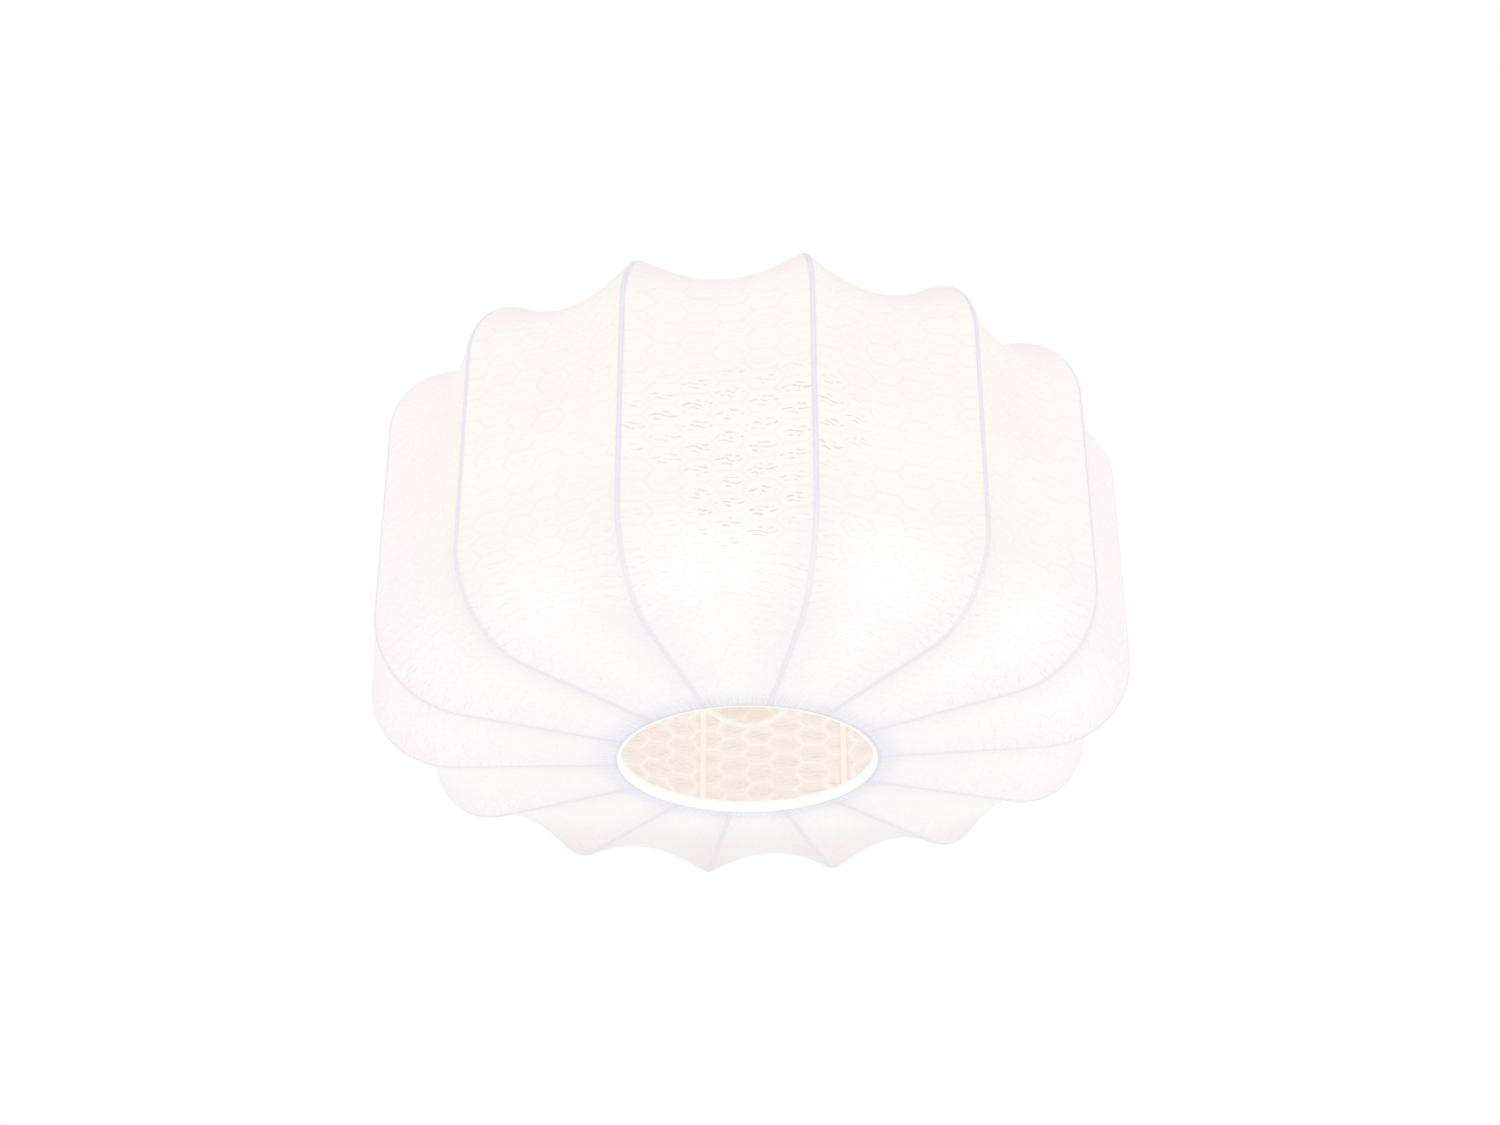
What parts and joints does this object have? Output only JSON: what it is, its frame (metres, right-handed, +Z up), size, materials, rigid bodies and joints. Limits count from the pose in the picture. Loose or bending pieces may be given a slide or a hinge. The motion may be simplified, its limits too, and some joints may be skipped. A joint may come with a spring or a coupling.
{
  "type": "ceiling lantern",
  "caption": "Round flush ceiling lantern: a white honeycomb knit sleeve stretched over a cage of bent wire ribs, open at top and bottom, lit by a clear screw-cap bulb.",
  "frame": {"origin": "on the ceiling, on the lantern's axis", "axes": "+Z up into the ceiling, the lantern hangs below; -Y is the side that faces the viewer; the long arms of the bracket lie along X"},
  "size_m": [0.399, 0.3961, 0.215],
  "materials": {
    "zinc_steel": "bright zinc plated steel",
    "white_enamel": "white stoved enamel, half gloss",
    "block_plastic": "natural polyamide",
    "brass_parts": "bright brass",
    "lead_brown": "brown silicone insulation",
    "lead_blue": "blue silicone insulation",
    "lead_green_yellow": "green and yellow insulation",
    "holder_plastic": "white moulded thermoset, half gloss",
    "holder_ceramic": "unglazed white ceramic",
    "wire_coating": "cream white powder coat, half matt",
    "knit_fabric": "white stretch knit with a fine honeycomb relief",
    "bulb_glass": "clear thin glass",
    "bulb_cap_metal": "plated screw cap",
    "bulb_solder": "dull solder",
    "bulb_black_glass": "black vitrite",
    "bulb_wire_metal": "drawn nickel wire",
    "bulb_tungsten": "coiled tungsten wire"
  },
  "bodies": {
    "fitting": {"mounting_bracket": "zinc_steel", "bracket_studs": "zinc_steel", "ceiling_cup": "white_enamel", "cup_nuts": "white_enamel", "terminal_block": "block_plastic", "terminal_sleeves": "brass_parts", "terminal_screws": "zinc_steel", "block_screw": "zinc_steel", "earth_lug": "zinc_steel", "earth_screw": "zinc_steel", "stem": "zinc_steel", "stem_washers": "zinc_steel", "stem_nuts": "zinc_steel", "live_lead": "lead_brown", "neutral_lead": "lead_blue", "earth_lead": "lead_green_yellow", "holder_cap": "holder_plastic", "holder_body": "holder_plastic", "holder_insert": "holder_ceramic", "holder_shell": "brass_parts", "centre_contact": "brass_parts", "holder_terminals": "brass_parts", "holder_screws": "zinc_steel", "contact_rivets": "brass_parts", "neck_screw": "zinc_steel"},
    "shade": {"fitter_ring": "wire_coating", "spider_arm_1": "wire_coating", "spider_arm_2": "wire_coating", "spider_arm_3": "wire_coating", "top_hoop": "wire_coating", "bottom_hoop": "wire_coating", "rib_01": "wire_coating", "rib_02": "wire_coating", "rib_03": "wire_coating", "rib_04": "wire_coating", "rib_05": "wire_coating", "rib_06": "wire_coating", "rib_07": "wire_coating", "rib_08": "wire_coating", "rib_09": "wire_coating", "rib_10": "wire_coating", "rib_11": "wire_coating", "rib_12": "wire_coating", "rib_13": "wire_coating", "rib_14": "wire_coating", "fabric_cover": "knit_fabric", "top_hem": "knit_fabric", "bottom_hem": "knit_fabric"},
    "shade_ring": {"shade_ring": "holder_plastic"},
    "bulb_foot": {"bulb_tip": "bulb_solder"},
    "bulb": {"bulb_glass": "bulb_glass", "bulb_cap": "bulb_cap_metal", "bulb_insulator": "bulb_black_glass", "bulb_mount": "bulb_glass", "bulb_wires": "bulb_wire_metal", "bulb_filament": "bulb_tungsten"}
  },
  "joints": [
    {"name": "shade_travel", "type": "slide", "parent": "fitting", "child": "shade", "axis": [0, 0, -1], "range_m": [0, 0.0141]},
    {"name": "shade_ring_turn", "type": "hinge", "parent": "shade", "child": "shade_ring", "pos_m": [0, 0, -0.095], "axis": [0, 0, -1], "range_deg": [0, 2016]},
    {"name": "bulb_travel", "type": "slide", "parent": "fitting", "child": "bulb_foot", "axis": [0, 0, -1], "range_m": [0, 0.0221]},
    {"name": "bulb_turn", "type": "hinge", "parent": "bulb_foot", "child": "bulb", "pos_m": [0, 0, -0.14], "axis": [0, 0, -1], "range_deg": [0, 2182]}
  ],
  "couplings": [
    {"joint": "shade_travel", "follows": "shade_ring_turn", "m_per_rad": 0.00039789},
    {"joint": "bulb_travel", "follows": "bulb_turn", "m_per_rad": 0.00057757}
  ]
}
